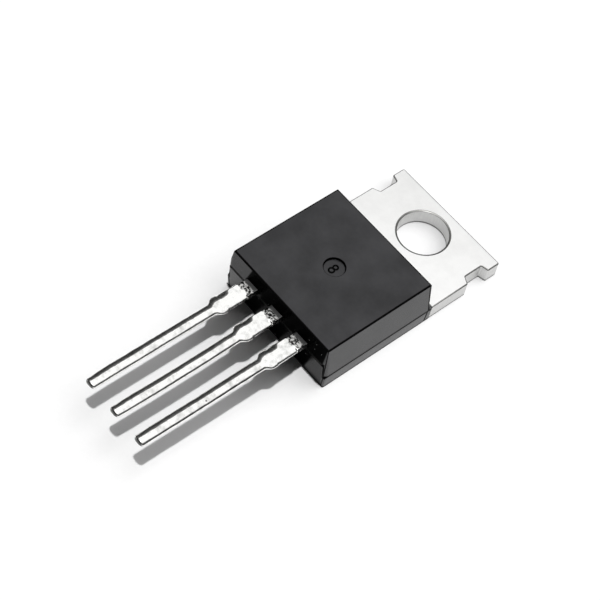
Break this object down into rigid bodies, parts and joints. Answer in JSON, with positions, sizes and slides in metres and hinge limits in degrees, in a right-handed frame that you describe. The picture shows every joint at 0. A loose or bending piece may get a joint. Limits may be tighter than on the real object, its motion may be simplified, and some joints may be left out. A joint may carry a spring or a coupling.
{
  "type": "insulated-gate bipolar transistor",
  "caption": "Power transistor in a single-hole through-hole package with a bare metal tab, a black moulded housing and solder-dipped leads",
  "frame": {"origin": "centre of the mounting hole, on the back plane of the tab and moulding", "axes": "+Y from the hole to the tab's end, so the leads run to -Y; +Z from the back plane to the moulding's top face; +X across the tab, with the gate lead on -X and the emitter lead on +X"},
  "size_m": [0.0102, 0.0291, 0.0042],
  "materials": {
    "mould_compound": "fine satin, moulded epoxy",
    "tinned_copper": "matte tin plate over copper",
    "solder_dip": "bright lumpy hot-dipped solder",
    "die_solder": "dull soft solder",
    "silicon": "polished silicon with metallised top",
    "bond_wire": "bright drawn wire"
  },
  "bodies": {
    "root": {"moulded_body": "mould_compound", "collector_frame": "tinned_copper", "gate_lead": "solder_dip", "emitter_lead": "solder_dip", "die_attach_solder": "die_solder", "igbt_die": "silicon", "emitter_wire_1": "bond_wire", "emitter_wire_2": "bond_wire", "gate_wire": "bond_wire"}
  },
  "joints": []
}
